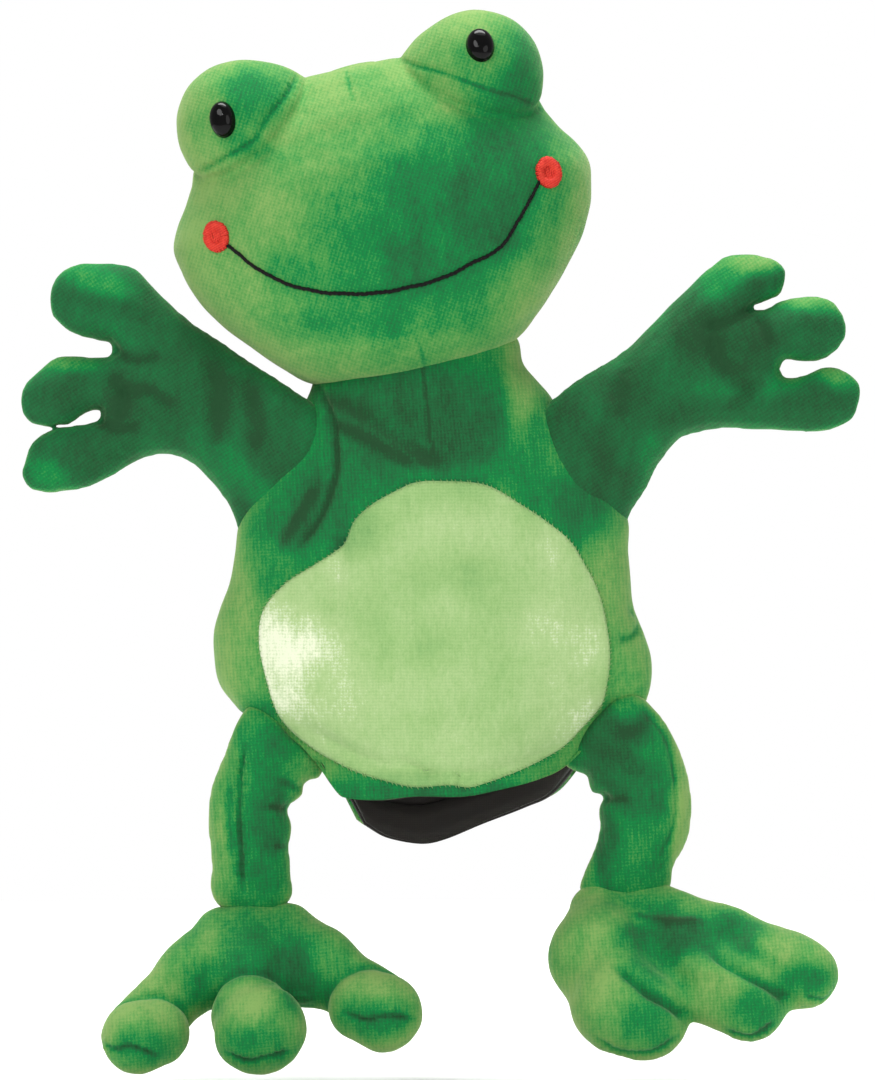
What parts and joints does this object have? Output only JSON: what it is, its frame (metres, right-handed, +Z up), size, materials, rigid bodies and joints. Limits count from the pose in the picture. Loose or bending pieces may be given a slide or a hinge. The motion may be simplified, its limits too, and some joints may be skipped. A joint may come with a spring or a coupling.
{
  "type": "frog hand puppet",
  "caption": "Green velour frog glove puppet with stuffed head, hollow sleeves for the fingers, dangling stuffed legs and a pale belly patch.",
  "frame": {"origin": "middle of the glove opening, at the height of the front hem", "axes": "+Z up towards the head, -Y the way the puppet faces, +X to the viewer's right when the puppet faces the viewer"},
  "size_m": [0.2751, 0.0911, 0.3498],
  "materials": {
    "velour_green": "matte",
    "velour_pale": "matte",
    "lining_black": "matte",
    "wadding": "matte",
    "thread_black": "satin",
    "thread_red": "satin",
    "eye_plastic": "gloss",
    "washer_plastic": "matte"
  },
  "bodies": {
    "torso": {"body_front_left": "velour_green", "body_front_right": "velour_green", "body_back": "velour_green", "body_lining": "lining_black", "opening_tape": "lining_black", "belly_patch": "velour_pale"},
    "neck_sleeve": {"neck_sleeve": "velour_green"},
    "neck_lining": {"neck_lining": "lining_black"},
    "head": {"face_panel": "velour_green", "chin_panel": "velour_green", "head_back": "velour_green", "eye_bump_left": "velour_green", "eye_bump_right": "velour_green", "eye_left": "eye_plastic", "eye_right": "eye_plastic", "eye_washer_left": "washer_plastic", "eye_washer_right": "washer_plastic", "finger_pocket": "lining_black", "head_stuffing": "wadding", "mouth_embroidery": "thread_black", "cheek_dot_left": "thread_red", "cheek_dot_right": "thread_red"},
    "shoulder_left": {"armhole_lining_left": "lining_black"},
    "arm_left": {"arm_left_front": "velour_green", "arm_left_back": "velour_green", "hand_wadding_left": "wadding"},
    "leg_left": {"leg_left_cover": "velour_green", "leg_left_stuffing": "wadding"},
    "foot_left": {"foot_left_top": "velour_green", "foot_left_sole": "velour_green", "foot_left_stuffing": "wadding"},
    "shoulder_right": {"armhole_lining_right": "lining_black"},
    "arm_right": {"arm_right_front": "velour_green", "arm_right_back": "velour_green", "hand_wadding_right": "wadding"},
    "leg_right": {"leg_right_cover": "velour_green", "leg_right_stuffing": "wadding"},
    "foot_right": {"foot_right_top": "velour_green", "foot_right_sole": "velour_green", "foot_right_stuffing": "wadding"}
  },
  "joints": [
    {"name": "head_turn", "type": "hinge", "parent": "torso", "child": "neck_sleeve", "pos_m": [-0.007, 0, 0.14], "axis": [0, 0, 1], "range_deg": [-20, 20]},
    {"name": "head_nod", "type": "hinge", "parent": "neck_sleeve", "child": "neck_lining", "pos_m": [-0.007, 0, 0.14], "axis": [1, 0, 0], "range_deg": [-10, 8]},
    {"name": "head_tilt", "type": "hinge", "parent": "neck_lining", "child": "head", "pos_m": [-0.007, 0, 0.14], "axis": [0, 1, 0], "range_deg": [-2, 26]},
    {"name": "arm_left_swing", "type": "hinge", "parent": "torso", "child": "shoulder_left", "pos_m": [-0.056, 0, 0.108], "axis": [0, 0, -1], "range_deg": [-35, 10]},
    {"name": "arm_left_raise", "type": "hinge", "parent": "shoulder_left", "child": "arm_left", "pos_m": [-0.056, 0, 0.108], "axis": [0, 1, 0], "range_deg": [-55, 4]},
    {"name": "arm_right_swing", "type": "hinge", "parent": "torso", "child": "shoulder_right", "pos_m": [0.051, 0, 0.108], "axis": [0, 0, -1], "range_deg": [-10, 35]},
    {"name": "arm_right_raise", "type": "hinge", "parent": "shoulder_right", "child": "arm_right", "pos_m": [0.051, 0, 0.108], "axis": [0, 1, 0], "range_deg": [-25, 44]},
    {"name": "leg_left_swing", "type": "hinge", "parent": "torso", "child": "leg_left", "pos_m": [-0.0565, 0, 0.011], "axis": [1, 0, 0], "range_deg": [-90, 25]},
    {"name": "foot_left_flex", "type": "hinge", "parent": "leg_left", "child": "foot_left", "pos_m": [-0.0625, 0, -0.036], "axis": [1, 0, 0], "range_deg": [-20, 20]},
    {"name": "leg_right_swing", "type": "hinge", "parent": "torso", "child": "leg_right", "pos_m": [0.0595, 0, 0.013], "axis": [1, 0, 0], "range_deg": [-90, 25]},
    {"name": "foot_right_flex", "type": "hinge", "parent": "leg_right", "child": "foot_right", "pos_m": [0.061, 0, -0.032], "axis": [1, 0, 0], "range_deg": [-20, 20]}
  ]
}
